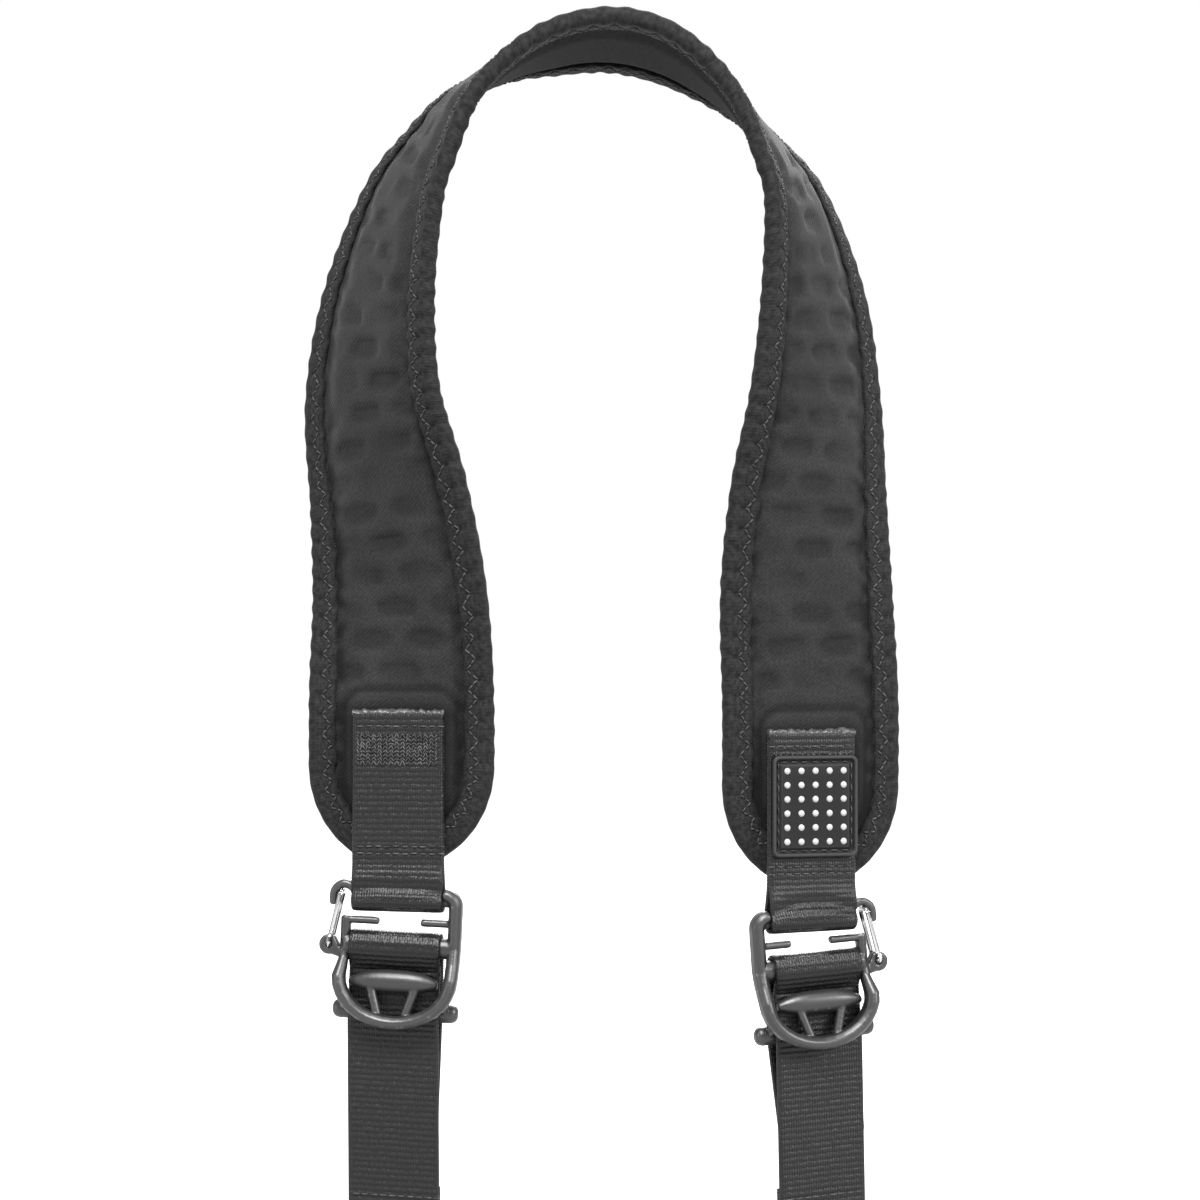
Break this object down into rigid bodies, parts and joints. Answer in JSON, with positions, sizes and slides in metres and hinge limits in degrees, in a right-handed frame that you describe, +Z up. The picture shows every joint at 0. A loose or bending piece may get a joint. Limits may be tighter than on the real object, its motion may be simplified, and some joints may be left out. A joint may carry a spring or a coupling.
{
  "type": "binocular strap",
  "caption": "Padded binocular neck strap hung as a twisted arch, with bound edges, webbing tabs, hook buckles with sprung wire gates, and adjustable webbing straps.",
  "frame": {"origin": "middle of the arch's inner face, where the pad rests on the neck or on a peg", "axes": "+Z up along the hanging straps, +X to the viewer's right, +Y away from the viewer through the neck space"},
  "size_m": [0.1661, 0.052, 0.3352],
  "materials": {
    "cover": "charcoal twill over perforated foam",
    "binding_tape": "black folded tape with zigzag stitching",
    "webbing": "ribbed nylon webbing",
    "casting": "satin gunmetal casting",
    "gate_wire": "polished steel wire",
    "patch_rubber": "matt black moulded rubber"
  },
  "bodies": {
    "strap": {"neck_pad": "cover", "edge_binding": "binding_tape", "webbing_tab_left": "webbing", "webbing_tab_right": "webbing", "label_patch": "patch_rubber", "buckle_frame_left": "casting", "buckle_frame_right": "casting", "webbing_strap_left": "webbing", "webbing_strap_right": "webbing"},
    "gate_left": {"wire_gate_left": "gate_wire"},
    "gate_right": {"wire_gate_right": "gate_wire"}
  },
  "joints": [
    {"name": "gate_left_hinge", "type": "hinge", "parent": "strap", "child": "gate_left", "pos_m": [-0.07614, -0.00228, -0.24618], "axis": [0.1305, 0.9914, 0], "range_deg": [0, 7], "stiffness_Nm_per_rad": 0.01, "springref_deg": -20.05},
    {"name": "gate_right_hinge", "type": "hinge", "parent": "strap", "child": "gate_right", "pos_m": [0.0748, 0.0012, -0.25117], "axis": [0.3256, -0.9455, 0], "range_deg": [0, 7], "stiffness_Nm_per_rad": 0.01, "springref_deg": -20.05}
  ]
}
